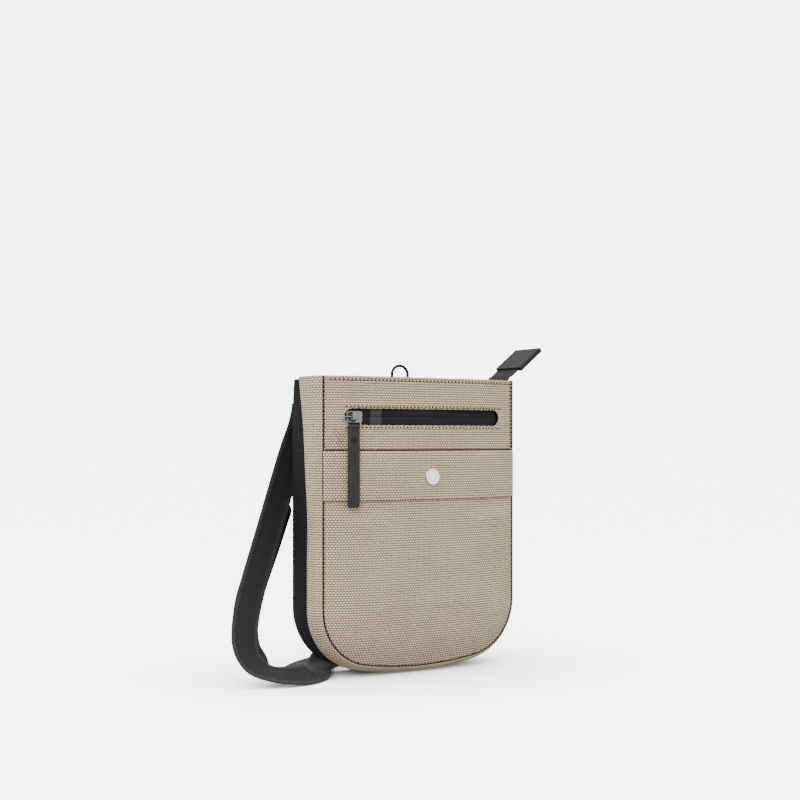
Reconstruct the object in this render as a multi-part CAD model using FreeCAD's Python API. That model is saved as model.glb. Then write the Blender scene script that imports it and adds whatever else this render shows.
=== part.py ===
"""Neck pouch wallet: a small zipped travel pouch on a webbing strap.

Millimetres. X runs across the pouch with 0 in its middle, the front faces -Y with Y = 0 in the plane of
the front seam, and Z = 0 is the floor. Every shape is moved by ORIGIN when it is written, so that the
part's own origin is under the middle of the pouch with its zip tail, on the floor.
"""
import FreeCAD, Part
import math
import os

V = FreeCAD.Vector
LEFT, RIGHT = -1, 1

# The part's origin, in the coordinates above: the middle of everything but the strap.
ORIGIN = V(11.03, 13.04, 0)

# Pouch body: a U-shaped outline, measured along the front seam.
HALF_W = 75.4          # seam to seam is twice this
TOP_Z = 200.0
SEAM_Z = 5.0           # the seam's lowest point; the soft gusset bulges below it to the floor
CORNER_R = 38.0
BOTTOM_R = 260.0       # the bottom is nearly flat
MIN_CORNER_R = 6.0
TOOL_REACH = 5.0       # how far a cutting shape runs past the cloth
JOIN = 0.1             # how far two shapes reach into each other where they are made one
CLOTH = 1.0            # woven shell cloth with its backing
SIDE_BULGE = 5.0       # how far the gusset stands out past the seam
GUSSET_Y = 19.0        # back edge of the pale gusset
RIM_Y = 36.0           # back edge of the black rim
LINING_Y = 3.0         # front face of the main compartment's lining
LINING_T = 0.6
BACK_CROWN = 3.0
FRONT_CROWN = 7.5      # the filled front panel bulges this far forward
POCKET_CROWN = 13.0    # and the slip pocket in front of it this far
CROWN_POWER = 4
DOME_INSETS = (0, 4, 10, 18, 28, 40, 54)

# Slip pocket: its mouth is a stitched hem band held shut by a snap.
MOUTH_Z = 150.5
HEM_Z = 119.0
HEM_HALF_W = 40.0        # narrow enough to open between the front zip's pull at its two ends
HEM_T = 1.4
HEM_GAP = 0.6
SNAP_Z = 133.0
SNAP_R = 5.3
SNAP_CAP_T = 1.4
STEM_R = 1.6
SOCKET_R = 5.0
SOCKET_T = 1.9
SOCKET_FLOOR = 0.5
STUD_R = 2.2
STUD_CLEAR = 0.4
STUD_REACH = 1.0         # from the socket's back to the stud's tip
STUD_BASE_R = 4.6
STUD_BASE_T = 0.8
RIVET_R = 4.0
RIVET_T = 0.7
CAP_BEVEL = 0.5

# Front zip: its tape follows the crowned panel on one large arc about an upright axis.
ZIP_Z = 173.1
WINDOW_HALF_L = 61.7
WINDOW_H = 10.6
ARC_R = 400.0
TAPE_T = 0.7
ZIP_SLOT = 0.9         # gap between the two halves, where the slider's web runs
TAPE_HALF_L = 66.0
TAPE_W = 11.0
COIL_T = 1.8
COIL_W = 2.0
SLIDER_X = -54.0
SLIDER_L = 11.0
SLIDER_H = 7.6
SLIDER_T = 1.5
PLATE_T = 1.2          # the slider's back plate, and both plates of the top slider
WEB_HALF_L = 2.5
WEB_HALF_T = 0.25
STOP_HALF_L = 1.0
STOP_HALF_H = 2.4
STOP_T = 0.5
CLEAR = 0.3
TAPE_FACE_Y = CLOTH - FRONT_CROWN + 0.1
ARC_AXIS = V(0, TAPE_FACE_Y + ARC_R, 0)

# Front pull: a wire ring in the slider's bail, and a folded rubber strip on the ring. They are made at
# the middle of the zip and moved along it with the slider.
BAIL_X = -1.5
BAIL_DEPTH = 4.5
BAIL_HALF_W = 1.2
BAIL_HALF_H = 3.2
BAIL_HOLE_HALF = 2.0
BAIL_BAR_T = 1.0
RING_WIRE_R = 0.6
RING_X = -3.4
RING_TOP_Y = -10.9
RING_HALF_W = 5.2
RING_H = 8.25          # from bar to bar
RING_TILT = 36.9       # the foot leans out, so that the strip clears the snap as it passes
RING_CORNER_R = 1.3
PULL_W = 7.8
PULL_T = 2.0
PULL_END_Z = 113.8
EYELET_Z = 157.9
EYELET_R = 2.0

# Top zip, let in below the top edge, and its tail.
TOP_ZIP_Y = 14.0
TOP_ZIP_Z = 192.0
TOP_ZIP_HALF_L = 67.0
TOP_SLIDER_X = -60.0
TOP_PULL_L = 13.0
RAMP_X = 68.0
TAIL_ROOT = V(76.5, TOP_ZIP_Y, 202.9)
TAIL_ANGLE = 39.0
TAIL_L = 9.2
TAIL_W = 26.0
TAB_L = 23.0
TAB_W = 30.0
TAB_T = 3.0

# Top ring: a black wire ring in a webbing tab on the back top edge.
TOP_RING_Y = 27.7
TOP_RING_WIRE_R = 1.0
TOP_RING_HALF_W = 6.35
TOP_RING_BAR_Z = 196.6
TOP_RING_TOP_Z = 209.7
TOP_RING_CORNER_R = 6.2

# Strap: flat webbing. The free length is a round tube of the same section.
WEBBING_W = 19.0
WEBBING_T = 1.2
TUBE_R = math.sqrt(WEBBING_W * WEBBING_T / math.pi)
ANCHOR_X = 66.0
ANCHOR_Z = 188.0
STRAP_Y = 43.0         # plane of the short strap, ring and adjuster behind the back panel
STRAP_SLOPE = 23.0     # their fall from the right anchor, in degrees
SHORT_L = 40.0
BAR_R = 1.3
BAR_FIT = 0.1
RING_L = 9.0
DOUBLER_L = 58.0

# Route of the free webbing, from the left anchor down to the floor, under the rounded corner,
# round behind the pouch and back up to the adjuster.
STRAP_ROUTE = [
    V(-68, 40.8, 182), V(-68.6, 41.2, 172), V(-76, 44.5, 151), V(-86, 44, 120), V(-98, 40, 90),
    V(-113, 33, 60), V(-124, 22, 35), V(-124, 11, 16), V(-112, 4, 6.5), V(-94, 1, 5),
    V(-77, 3, 4.4), V(-62, 14, 3.8), V(-59, 34, 4.2), V(-46, 50, 6), V(-22, 58, 8),
    V(4, 58, 9), V(32, 57, 9), V(57, 62, 9), V(74, 79, 9), V(71, 101, 9),
    V(50, 111, 9), V(28, 98, 9), V(0, 77, 9), V(-30, 72, 8), V(-58, 60, 7),
    V(-74, 37, 6.5), V(-86, 18, 6), V(-103, 12, 9), V(-116, 18, 22), V(-116, 29, 44),
    V(-102, 39, 68), V(-89, 46, 92), V(-81, 49, 114), V(-68, 48, 128), V(-55.1, 44, 135.2),
    V(-41.3, 43, 141),
]


def box(low, high):
    """A box between two opposite corners."""
    return Part.makeBox(high[0] - low[0], high[1] - low[1], high[2] - low[2], V(*low))


def rod(radius, start, axis, length):
    """A cylinder from start along axis."""
    return Part.makeCylinder(radius, length, start, axis)


# ---------------------------------------------------------------- outline

def outline_edges(inset, y, top=TOP_Z):
    """Left side, corner, bottom, corner and right side of the U, tangent to each other."""
    half = HALF_W - inset
    corner = max(CORNER_R - inset, MIN_CORNER_R)
    bottom = BOTTOM_R - inset
    reach = half - corner
    bottom_centre_z = SEAM_Z + inset + bottom
    lean = math.asin(reach / (bottom - corner))
    corner_z = bottom_centre_z - (bottom - corner) * math.cos(lean)

    def on_corner(side, angle):
        return V(side * (reach + corner * math.sin(angle)), y, corner_z - corner * math.cos(angle))

    halfway = (lean + math.pi / 2) / 2
    start, end = V(-half, y, top), V(half, y, top)
    left = on_corner(LEFT, math.pi / 2)
    right = on_corner(RIGHT, math.pi / 2)
    return [
        Part.LineSegment(start, left).toShape(),
        Part.Arc(left, on_corner(LEFT, halfway), on_corner(LEFT, lean)).toShape(),
        Part.Arc(on_corner(LEFT, lean), V(0, y, SEAM_Z + inset), on_corner(RIGHT, lean)).toShape(),
        Part.Arc(on_corner(RIGHT, lean), on_corner(RIGHT, halfway), right).toShape(),
        Part.LineSegment(right, end).toShape(),
    ]


def outline_wire(inset, y, top=TOP_Z):
    """The U closed by a straight top edge."""
    edges = outline_edges(inset, y, top)
    lid = Part.LineSegment(edges[-1].Vertexes[-1].Point, edges[0].Vertexes[0].Point).toShape()
    return Part.Wire(edges + [lid])


def prism(inset, low_y, high_y, top=TOP_Z):
    """The U outline as a solid slab from low_y to high_y."""
    return Part.Face(outline_wire(inset, low_y, top)).extrude(V(0, high_y - low_y, 0))


def rise(inset, crown):
    """How far a crowned panel stands out at a distance inside its edge."""
    return crown * (1 - (1 - inset / HALF_W) ** CROWN_POWER)


FRONT_FACE_Y = -rise(DOME_INSETS[-1], FRONT_CROWN)
POCKET_FACE_Y = -rise(DOME_INSETS[-1], POCKET_CROWN)


def dome(crown, base_y, direction, edge=0.0, top=TOP_Z):
    """A pillow on the outline that rises from base_y along Y; edge insets its foot."""
    sections = [outline_wire(inset + edge, base_y + direction * rise(inset, crown), top)
                for inset in DOME_INSETS]
    return Part.makeLoft(sections, True, False)


def band(profile):
    """A closed profile of (outward, y) points, swept down one side, round the bottom and up."""
    points = [V(-HALF_W - outward, y, TOP_Z) for outward, y in profile]
    section = Part.makePolygon(points + points[:1])
    path = Part.Wire(outline_edges(0, 0))
    return path.makePipeShell([section], True, False)


# ---------------------------------------------------------------- shell

def front_shell():
    """The front panel's crowned cloth, with the zip window and the stud's hole."""
    cloth = dome(FRONT_CROWN, 0, -1).cut(dome(FRONT_CROWN, CLOTH, -1, edge=0.6, top=TOP_Z + 2))
    half = WINDOW_HALF_L - WINDOW_H / 2
    low_y, depth = -FRONT_CROWN - TOOL_REACH, FRONT_CROWN + 2 * TOOL_REACH
    window = box((-half, low_y, ZIP_Z - WINDOW_H / 2), (half, low_y + depth, ZIP_Z + WINDOW_H / 2))
    for x in (-half, half):
        window = window.fuse(rod(WINDOW_H / 2, V(x, low_y, ZIP_Z), V(0, 1, 0), depth))
    stud_hole = rod(STEM_R, V(0, low_y, SNAP_Z), V(0, 1, 0), depth)
    return cloth.cut(window).cut(stud_hole)


def pocket_cloth(thickness):
    """The slip pocket's crowned cloth, up to its mouth, outside the front panel."""
    cloth = dome(POCKET_CROWN, 0, -1).cut(dome(POCKET_CROWN, thickness, -1, edge=0.6, top=TOP_Z + 2))
    return cloth.cut(dome(FRONT_CROWN, 0, -1, top=TOP_Z + 2))


def hem_region(half_w, low_z):
    """The space of the hem band."""
    return box((-half_w, -POCKET_CROWN - TOOL_REACH, low_z), (half_w, 0, MOUTH_Z))


def pocket_shell():
    """The slip pocket's panel, cut out where the hem band moves."""
    below_mouth = box((-HALF_W - 1, -POCKET_CROWN - TOOL_REACH, 0), (HALF_W + 1, 1, MOUTH_Z))
    return pocket_cloth(CLOTH).common(below_mouth).cut(hem_region(HEM_HALF_W + HEM_GAP, HEM_Z - HEM_GAP))


def pocket_hem():
    """The doubled cloth band along the pocket's mouth, with the snap's hole."""
    hole = rod(STEM_R, V(0, -POCKET_CROWN - TOOL_REACH, SNAP_Z), V(0, 1, 0), POCKET_CROWN)
    return pocket_cloth(HEM_T).common(hem_region(HEM_HALF_W, HEM_Z)).cut(hole)


def side_gusset():
    """The pale gusset: it rolls out from the front seam and runs back to the rim."""
    outer = [(0, 0), (2.0, 0.9), (3.6, 3.0), (4.6, 7.0), (SIDE_BULGE, 13.0), (SIDE_BULGE, GUSSET_Y)]
    inner = [(out - CLOTH, y + CLOTH / 2) for out, y in outer[:-1]]
    return band(outer + [(SIDE_BULGE - CLOTH, GUSSET_Y)] + inner[::-1][:-1] + [(-CLOTH, 0)])


def back_rim():
    """The black rim between the gusset and the back panel."""
    outer = [(SIDE_BULGE, GUSSET_Y), (SIDE_BULGE, RIM_Y - 4), (SIDE_BULGE - 0.8, RIM_Y - 1.5),
             (2.0, RIM_Y + 0.6)]
    inner = [(out - CLOTH, y) for out, y in outer[:-1]]
    return band(outer + [(1.0, RIM_Y)] + inner[::-1])


def back_panel():
    """The padded black back."""
    return dome(BACK_CROWN, RIM_Y, 1, edge=-1.0)


def main_lining():
    """The lining bag of the main compartment, open at the top."""
    outer = prism(2.0, LINING_Y, RIM_Y - 1.5, top=TOP_ZIP_Z - 1)
    return outer.cut(prism(2.0 + LINING_T, LINING_Y + LINING_T, RIM_Y - 1.5 - LINING_T, top=TOP_Z))


def zip_pocket_bag():
    """The flat bag behind the front zip, open at the top."""
    low, high = V(-60, 0.2, 92), V(60, 2.4, 166)
    wall = V(LINING_T, LINING_T, LINING_T)
    return box(low, high).cut(box(low + wall, high - V(LINING_T, LINING_T, -1)))


# ---------------------------------------------------------------- snap

def snap_cap():
    """The round metal cap on the hem, bevelled at its edge, with its stem through the cloth."""
    face_y = POCKET_FACE_Y
    cap = rod(SNAP_R, V(0, face_y - SNAP_CAP_T, SNAP_Z), V(0, 1, 0), SNAP_CAP_T)
    cap = cap.makeChamfer(CAP_BEVEL, [e for e in cap.Edges if e.CenterOfMass.y < face_y - SNAP_CAP_T + JOIN])
    return cap.fuse(rod(STEM_R, V(0, face_y - JOIN, SNAP_Z), V(0, 1, 0), HEM_T + JOIN))


def snap_socket():
    """The socket behind the hem that grips the stud."""
    back_y = POCKET_FACE_Y + HEM_T
    ring = rod(SOCKET_R, V(0, back_y, SNAP_Z), V(0, 1, 0), SOCKET_T)
    return ring.cut(rod(STUD_R + STUD_CLEAR, V(0, back_y + SOCKET_FLOOR, SNAP_Z), V(0, 1, 0), SOCKET_T))


def snap_stud():
    """The stud on the front panel, inside the socket when the pocket is shut."""
    base_y = FRONT_FACE_Y - STUD_BASE_T
    tip_y = POCKET_FACE_Y + HEM_T + STUD_REACH
    base = rod(STUD_BASE_R, V(0, base_y, SNAP_Z), V(0, 1, 0), STUD_BASE_T)
    return base.fuse(rod(STUD_R, V(0, tip_y, SNAP_Z), V(0, 1, 0), base_y - tip_y + JOIN))


def snap_rivet():
    """The rivet behind the front panel that holds the stud."""
    head = rod(RIVET_R, V(0, FRONT_FACE_Y + CLOTH, SNAP_Z), V(0, 1, 0), RIVET_T)
    return head.fuse(rod(STEM_R, V(0, FRONT_FACE_Y, SNAP_Z), V(0, 1, 0), CLOTH + JOIN))


# ---------------------------------------------------------------- front zip

def arc_slab(outer_r, inner_r, half_l, low_z, high_z):
    """A plate bent on the zip's arc, between two radii and two heights."""
    height = high_z - low_z
    centre = ARC_AXIS + V(0, 0, low_z)
    ring = Part.makeCylinder(outer_r, height, centre).cut(Part.makeCylinder(inner_r, height, centre))
    return ring.common(box((-half_l, -HALF_W, low_z), (half_l, HALF_W, high_z)))


def zip_half(side, kind):
    """One half of the front zip: side RIGHT is the upper half; kind is tape or coil."""
    near, far = ZIP_SLOT / 2, (TAPE_W if kind == "tape" else COIL_W + ZIP_SLOT / 2)
    low, high = (ZIP_Z + near, ZIP_Z + far) if side == RIGHT else (ZIP_Z - far, ZIP_Z - near)
    if kind == "tape":
        return arc_slab(ARC_R, ARC_R - TAPE_T, TAPE_HALF_L, low, high)
    return arc_slab(ARC_R - TAPE_T, ARC_R - TAPE_T - COIL_T, WINDOW_HALF_L - 2, low, high)


def on_zip_arc(shape, x):
    """Move a shape made at the middle of the front zip along its arc to x."""
    angle = math.degrees(math.asin(x / ARC_R))
    moved = shape.copy()
    moved.rotate(ARC_AXIS, V(0, 0, 1), angle)
    return moved


def edges_along(shape, axis, keep=lambda centre: True):
    """Straight edges along an axis, for rounding."""
    along = [e for e in shape.Edges if abs(e.tangentAt(e.FirstParameter).dot(axis)) > 0.9]
    return [e for e in along if keep(e.CenterOfMass)]


def front_zip_slider():
    """Front plate, web, back plate and the bail that holds the ring's top bar."""
    face_y = TAPE_FACE_Y - CLEAR
    back_y = TAPE_FACE_Y + TAPE_T + COIL_T + CLEAR
    front_y = face_y - SLIDER_T
    half_l, half_h = SLIDER_L / 2, SLIDER_H / 2
    plate = box((-half_l, front_y, ZIP_Z - half_h), (half_l, face_y, ZIP_Z + half_h))
    plate = plate.makeFillet(1.2, edges_along(plate, V(0, 1, 0)))
    back = box((-half_l, back_y, ZIP_Z - half_h), (half_l, back_y + PLATE_T, ZIP_Z + half_h))
    web = box((-WEB_HALF_L, face_y - JOIN, ZIP_Z - WEB_HALF_T), (WEB_HALF_L, back_y + JOIN, ZIP_Z + WEB_HALF_T))
    low = V(BAIL_X - BAIL_HALF_W, front_y - BAIL_DEPTH, ZIP_Z - BAIL_HALF_H)
    bail = box(low, (BAIL_X + BAIL_HALF_W, front_y + JOIN, ZIP_Z + BAIL_HALF_H))
    bail = bail.makeFillet(1.5, edges_along(bail, V(1, 0, 0), lambda centre: centre.y < low.y + JOIN))
    opening = box((BAIL_X - BAIL_HOLE_HALF, low.y + BAIL_BAR_T, ZIP_Z - BAIL_HOLE_HALF),
                  (BAIL_X + BAIL_HOLE_HALF, front_y, ZIP_Z + BAIL_HOLE_HALF))
    return on_zip_arc(plate.fuse([back, web, bail.cut(opening)]), SLIDER_X)


def zip_end_stop(x):
    """A metal stop crimped over both halves of the front zip."""
    face_y = TAPE_FACE_Y
    stop = box((-STOP_HALF_L, face_y - STOP_T, ZIP_Z - STOP_HALF_H), (STOP_HALF_L, face_y, ZIP_Z + STOP_HALF_H))
    return on_zip_arc(stop, x)


def swept_wire(points, corner_radii, wire_r, closed=True):
    """Round wire along straight runs joined by tangent arcs."""
    path = rounded_path(points, corner_radii, closed)
    start = path.Edges[0]
    section = Part.Wire(Part.makeCircle(wire_r, start.valueAt(start.FirstParameter),
                                        start.tangentAt(start.FirstParameter)))
    return path.makePipeShell([section], True, False)


def corner_arc(before, corner, after, radius):
    """The arc of a radius that rounds a corner, as its start, middle and end."""
    to_before = (before - corner).normalize()
    to_after = (after - corner).normalize()
    half = to_before.getAngle(to_after) / 2
    reach = radius / math.tan(half)
    bisector = (to_before + to_after).normalize()
    middle = corner + bisector * (radius / math.sin(half) - radius)
    return corner + to_before * reach, middle, corner + to_after * reach


def rounded_path(points, radii, closed):
    """Edges through the points, each corner rounded by its radius."""
    count = len(points)
    corners = range(count) if closed else range(1, count - 1)
    arcs = [corner_arc(points[i - 1], points[i], points[(i + 1) % count], radii[i]) for i in corners]
    edges = []
    last = arcs[-1][2] if closed else points[0]
    for start, middle, end in arcs:
        if (start - last).Length > 1e-6:
            edges.append(Part.LineSegment(last, start).toShape())
        edges.append(Part.Arc(start, middle, end).toShape())
        last = end
    if not closed:
        edges.append(Part.LineSegment(last, points[-1]).toShape())
    return Part.Wire(edges)


RING_TOP = V(RING_X, RING_TOP_Y, ZIP_Z)
RING_LEAN = math.radians(RING_TILT)
RING_FOOT = RING_TOP - V(0, RING_H * math.sin(RING_LEAN), RING_H * math.cos(RING_LEAN))


def front_zip_ring():
    """A wire ring: its top bar turns in the bail, its foot leans out."""
    corners = [(-RING_HALF_W, 0), (RING_HALF_W, 0), (RING_HALF_W, -RING_H), (-RING_HALF_W, -RING_H)]
    points = [RING_TOP + V(x, 0, z) for x, z in corners]
    ring = swept_wire(points, [RING_CORNER_R] * 4, RING_WIRE_R)
    ring.rotate(RING_TOP, V(1, 0, 0), -RING_TILT)
    return on_zip_arc(ring, SLIDER_X)


def front_pull():
    """The strip folded over the ring's foot, with the eyelet's hole and a rounded end."""
    x, y, foot_z = RING_FOOT
    half_w = PULL_W / 2
    fold = rod(PULL_T / 2 + 0.5, V(x - half_w, y, foot_z), V(1, 0, 0), PULL_W)
    strip = box((x - half_w, y - PULL_T / 2, PULL_END_Z), (x + half_w, y + PULL_T / 2, foot_z))
    strip = strip.makeFillet(1.5, edges_along(strip, V(0, 1, 0), lambda centre: centre.z < foot_z - 40))
    bore = rod(RING_WIRE_R + 0.25, V(x - half_w - 1, y, foot_z), V(1, 0, 0), PULL_W + 2)
    eyelet_hole = rod(EYELET_R - 0.6, V(x, y - 5, EYELET_Z), V(0, 1, 0), 10)
    return on_zip_arc(strip.fuse(fold).cut(bore).cut(eyelet_hole), SLIDER_X)


def front_pull_eyelet():
    """The metal eyelet that closes the fold."""
    x, y = RING_FOOT.x, RING_FOOT.y
    low_y, length = y - PULL_T / 2 - 0.3, PULL_T + 0.6
    tube = rod(EYELET_R - 0.6, V(x, low_y, EYELET_Z), V(0, 1, 0), length)
    for flange_y in (low_y, low_y + length - 0.3):
        tube = tube.fuse(rod(EYELET_R, V(x, flange_y, EYELET_Z), V(0, 1, 0), 0.3))
    hole = rod(0.9, V(x, low_y - 1, EYELET_Z), V(0, 1, 0), length + 2)
    return on_zip_arc(tube.cut(hole), SLIDER_X)


# ---------------------------------------------------------------- top zip

def inside_of_pouch():
    """The space inside the shell, for cutting the top tape to its shape."""
    front = dome(FRONT_CROWN, CLOTH, -1, edge=0.6)
    return front.fuse(prism(0.6, 0.5, RIM_Y))


def top_tape(side):
    """Half of the top zip's tape: side LEFT is the front half."""
    near = TOP_ZIP_Y + side * ZIP_SLOT / 2
    low_y, high_y = (-20, near) if side == LEFT else (near, RIM_Y)
    slab = box((-HALF_W, low_y, TOP_ZIP_Z), (HALF_W, high_y, TOP_ZIP_Z + TAPE_T))
    return slab.common(inside_of_pouch())


def top_coil(side):
    """Half of the top zip's coil, on top of its tape."""
    near = TOP_ZIP_Y + side * ZIP_SLOT / 2
    low_y, high_y = sorted((near, near + side * COIL_W))
    z = TOP_ZIP_Z + TAPE_T
    return box((-TOP_ZIP_HALF_L, low_y, z), (TOP_ZIP_HALF_L, high_y, z + COIL_T))


TOP_PLATE_Z = TOP_ZIP_Z + TAPE_T + COIL_T + CLEAR + PLATE_T
TOP_PULL_AXIS = V(TOP_SLIDER_X - 1.1, TOP_ZIP_Y, TOP_PLATE_Z + 1.1)


def top_zip_slider():
    """Body of the top slider, with a bail for its pull."""
    low_z = TOP_ZIP_Z - CLEAR
    half_l, half_w = SLIDER_L / 2, SLIDER_H / 2
    x, y = TOP_SLIDER_X, TOP_ZIP_Y
    upper = box((x - half_l, y - half_w, TOP_PLATE_Z - PLATE_T), (x + half_l, y + half_w, TOP_PLATE_Z))
    lower = box((x - half_l, y - half_w, low_z - PLATE_T), (x + half_l, y + half_w, low_z))
    web_low = V(x - WEB_HALF_L, y - WEB_HALF_T, low_z - JOIN)
    web_high = V(x + WEB_HALF_L, y + WEB_HALF_T, TOP_PLATE_Z - JOIN)
    web = box(web_low, web_high)
    bail = box((x - 3.2, y - 1.0, TOP_PLATE_Z - 0.1), (x + 3.2, y + 1.0, TOP_PLATE_Z + 3.0))
    bail = bail.cut(box((x - 2.2, y - 2, TOP_PLATE_Z), (x + 2.2, y + 2, TOP_PLATE_Z + 2.2)))
    return upper.fuse([lower, web, bail])


def top_zip_pull():
    """The top slider's flat metal pull, lying along the zip, with a round bar in the bail."""
    axis = TOP_PULL_AXIS
    plate = box((axis.x, axis.y - 3.0, axis.z - 0.6), (axis.x + TOP_PULL_L, axis.y + 3.0, axis.z + 0.6))
    plate = plate.makeFillet(1.5, edges_along(plate, V(0, 0, 1), lambda centre: centre.x > axis.x + 5))
    bar = rod(0.6, V(axis.x, axis.y - 3.0, axis.z), V(0, 1, 0), 6.0)
    slot = box((axis.x + 0.6, axis.y - 1.4, axis.z - 3), (axis.x + 6.0, axis.y + 1.4, axis.z + 3))
    hole = rod(1.4, V(axis.x + 9.5, axis.y, axis.z - 2), V(0, 0, 1), 4)
    return plate.fuse(bar).cut(slot).cut(hole)


def tail_plate(start, end, width, thickness):
    """A flat piece along the tail's line, between two distances from its root."""
    half = width / 2
    piece = box((start, -half, -thickness / 2), (end, half, thickness / 2))
    piece.rotate(V(0, 0, 0), V(0, 1, 0), -TAIL_ANGLE)
    piece.translate(TAIL_ROOT)
    return piece


def top_zip_ramp():
    """The tape's end that climbs from the let-in zip to the right top corner."""
    low, high = V(RAMP_X, 0, TOP_ZIP_Z + TAPE_T), V(TAIL_ROOT.x - 0.6, 0, TAIL_ROOT.z)
    lift = V(0, 0, TAPE_T)
    side = Part.makePolygon([low, high, high + lift, low + lift, low])
    ramp = Part.Face(side).extrude(V(0, TAIL_W, 0))
    ramp.translate(V(0, TOP_ZIP_Y - TAIL_W / 2, 0))
    return ramp


def top_zip_tail():
    """The free end of the tape past the pouch's corner."""
    return tail_plate(0.4, TAIL_L + 6, TAIL_W, TAPE_T)


def top_zip_end_tab():
    """The folded leather tab sewn over the tail's end."""
    tab = tail_plate(TAIL_L, TAIL_L + TAB_L, TAB_W, TAB_T)
    return tab.cut(tail_plate(TAIL_L - 1, TAIL_L + 6, TAIL_W, TAPE_T))


# ---------------------------------------------------------------- top ring

def top_ring():
    """The black wire ring on the back top edge."""
    half, low, high = TOP_RING_HALF_W, TOP_RING_BAR_Z, TOP_RING_TOP_Z
    points = [V(x, TOP_RING_Y, z) for x, z in ((-half, low), (half, low), (half, high), (-half, high))]
    round_r = TOP_RING_CORNER_R
    return swept_wire(points, [1.6, 1.6, round_r, round_r], TOP_RING_WIRE_R)


def top_ring_tab():
    """The webbing tab folded round the ring's bar and sewn inside the back."""
    centre = V(-4.0, TOP_RING_Y, TOP_RING_BAR_Z)
    fold = rod(2.2, centre, V(1, 0, 0), 8.0)
    leg = box((-4.0, TOP_RING_Y - 0.9, TOP_ZIP_Z + TAPE_T), (4.0, TOP_RING_Y + 0.9, TOP_RING_BAR_Z))
    return leg.fuse(fold).cut(rod(TOP_RING_WIRE_R + 0.15, centre - V(1, 0, 0), V(1, 0, 0), 10.0))


# ---------------------------------------------------------------- strap

def strap_anchor(side):
    """The folded webbing end sewn to the back at a top corner, against the padded panel."""
    x = side * ANCHOR_X
    outer_y = STRAP_Y - BAR_R - BAR_FIT - WEBBING_T
    fold = box((x - WEBBING_W / 2, RIM_Y, ANCHOR_Z - 6), (x + WEBBING_W / 2, outer_y, TOP_Z - 2))
    return fold.cut(dome(BACK_CROWN, RIM_Y, 1, edge=-1.0))


def hang(shape):
    """Tilt a piece made level, leftward from the right anchor, down along the short strap."""
    hung = shape.copy()
    hung.rotate(V(0, 0, 0), V(0, 1, 0), -STRAP_SLOPE)
    hung.translate(V(ANCHOR_X - 6, STRAP_Y, ANCHOR_Z - 4))
    return hung


def webbing_loop(start, end, half_gap):
    """Webbing folded into a flat closed loop between two bars."""
    outer_r = half_gap + WEBBING_T
    half_w = WEBBING_W / 2

    def racetrack(radius):
        body = box((-end, -radius, -half_w), (-start, radius, half_w))
        for x in (-start, -end):
            body = body.fuse(rod(radius, V(x, 0, -half_w), V(0, 0, 1), WEBBING_W))
        return body

    return racetrack(outer_r).cut(racetrack(half_gap))


def strap_short():
    """The short webbing from the right anchor, looped over the rectangular ring."""
    return hang(webbing_loop(-4, SHORT_L, BAR_R + BAR_FIT))


def frame_with_bars(start, length, bars):
    """A flat rectangular frame of round bars, wide enough for the webbing."""
    half = WEBBING_W / 2 + 0.8 + BAR_R
    low = V(-start - length, 0, 0)
    outline = [V(-start, 0, -half), low + V(0, 0, -half), low + V(0, 0, half), V(-start, 0, half)]
    frame = swept_wire(outline, [1.8] * 4, BAR_R)
    for distance in bars:
        frame = frame.fuse(rod(BAR_R, V(-start - distance, 0, -half), V(0, 0, 1), 2 * half))
    return hang(frame)


def strap_ring():
    """The rectangular ring that joins the short strap to the long one."""
    return frame_with_bars(SHORT_L, RING_L, [])


def strap_doubler():
    """The doubled webbing between the ring and the adjuster."""
    start = SHORT_L + RING_L
    return hang(webbing_loop(start, start + DOUBLER_L, BAR_R + BAR_FIT))


def strap_adjuster():
    """The three-bar slide that sets the strap's length."""
    start = SHORT_L + RING_L + DOUBLER_L - 7.0
    return frame_with_bars(start, 14.0, [7.0])


def strap_radii():
    """Each corner of the route rounded as widely as its two runs allow."""
    radii = [0.0] * len(STRAP_ROUTE)
    for i in range(1, len(STRAP_ROUTE) - 1):
        before, corner, after = STRAP_ROUTE[i - 1:i + 2]
        shorter = min((corner - before).Length, (after - corner).Length)
        turn = (corner - before).getAngle(after - corner)
        radii[i] = 0.45 * shorter / math.tan(turn / 2)
    return radii


def strap_webbing():
    """The free length of the strap."""
    radii = strap_radii()
    path = rounded_path(STRAP_ROUTE, radii, False)
    tube = swept_wire(STRAP_ROUTE, radii, TUBE_R, closed=False)
    expected = math.pi * TUBE_R ** 2 * path.Length
    print("strap length %.0f mm, volume %.4f of expected" % (path.Length, tube.Volume / expected))
    print("strap radii, mm:", [round(r) for r in radii[1:-1]])
    return tube


# ---------------------------------------------------------------- parts list

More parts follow.
